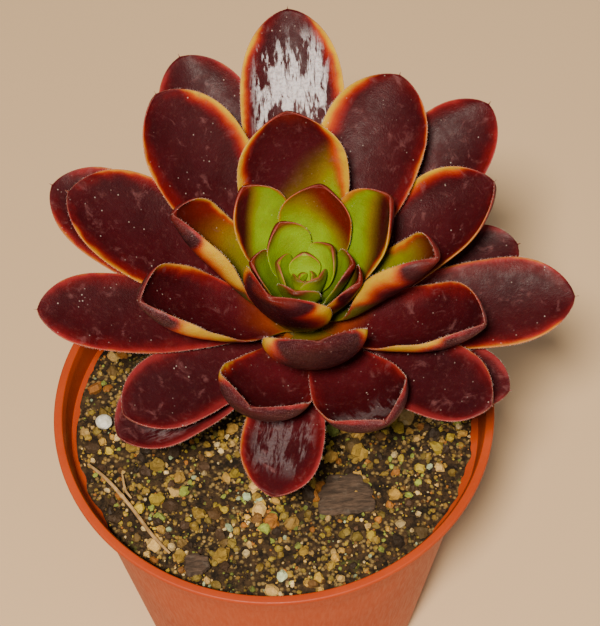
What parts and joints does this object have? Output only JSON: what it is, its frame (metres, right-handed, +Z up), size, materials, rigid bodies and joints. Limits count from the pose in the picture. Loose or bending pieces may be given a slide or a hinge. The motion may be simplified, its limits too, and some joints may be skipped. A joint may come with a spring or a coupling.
{
  "type": "potted succulent",
  "caption": "Rosette succulent with cupped, fleshy dark red leaves edged in yellow and a green heart, rooted in gritty soil in a round lipped plastic pot.",
  "frame": {"origin": "middle of the pot's underside, on the surface that it stands on", "axes": "+Z up; -Y is the front, the side that the rosette tips towards; +X to the right"},
  "size_m": [0.1272, 0.1151, 0.1756],
  "materials": {
    "pot": "semi-gloss terracotta-coloured moulded plastic",
    "soil": "damp dark potting soil with beige and olive grit",
    "stem": "corky brown bark with leaf scars",
    "leaf": "waxy satin dark maroon flesh with red and yellow margins",
    "heart_leaf": "waxy satin fresh green flesh with red-brown tips",
    "bark": "dull weathered bark",
    "stone": "rough chalky white",
    "straw": "dry fibrous straw"
  },
  "bodies": {
    "root": {"pot": "pot", "soil": "soil", "stem": "stem", "heart_leaf_01": "heart_leaf", "heart_leaf_02": "heart_leaf", "heart_leaf_03": "heart_leaf", "heart_leaf_04": "heart_leaf", "heart_leaf_05": "heart_leaf", "heart_leaf_06": "heart_leaf", "heart_leaf_07": "heart_leaf", "heart_leaf_08": "heart_leaf", "heart_leaf_09": "heart_leaf", "heart_leaf_10": "heart_leaf", "heart_leaf_11": "heart_leaf", "heart_leaf_12": "heart_leaf", "heart_leaf_13": "heart_leaf", "leaf_01": "leaf", "leaf_02": "leaf", "leaf_03": "leaf", "leaf_04": "leaf", "leaf_05": "leaf", "leaf_06": "leaf", "leaf_07": "leaf", "leaf_08": "leaf", "leaf_09": "leaf", "leaf_10": "leaf", "leaf_11": "leaf", "leaf_12": "leaf", "leaf_13": "leaf", "leaf_14": "leaf", "leaf_15": "leaf", "leaf_16": "leaf", "leaf_17": "leaf", "leaf_18": "leaf", "leaf_19": "leaf", "leaf_20": "leaf", "leaf_21": "leaf", "leaf_22": "leaf", "leaf_23": "leaf", "leaf_24": "leaf", "leaf_25": "leaf", "bark_chip_large": "bark", "bark_chip_small": "bark", "pale_stone": "stone", "dry_straw": "straw", "straw_sprig": "straw"}
  },
  "joints": []
}
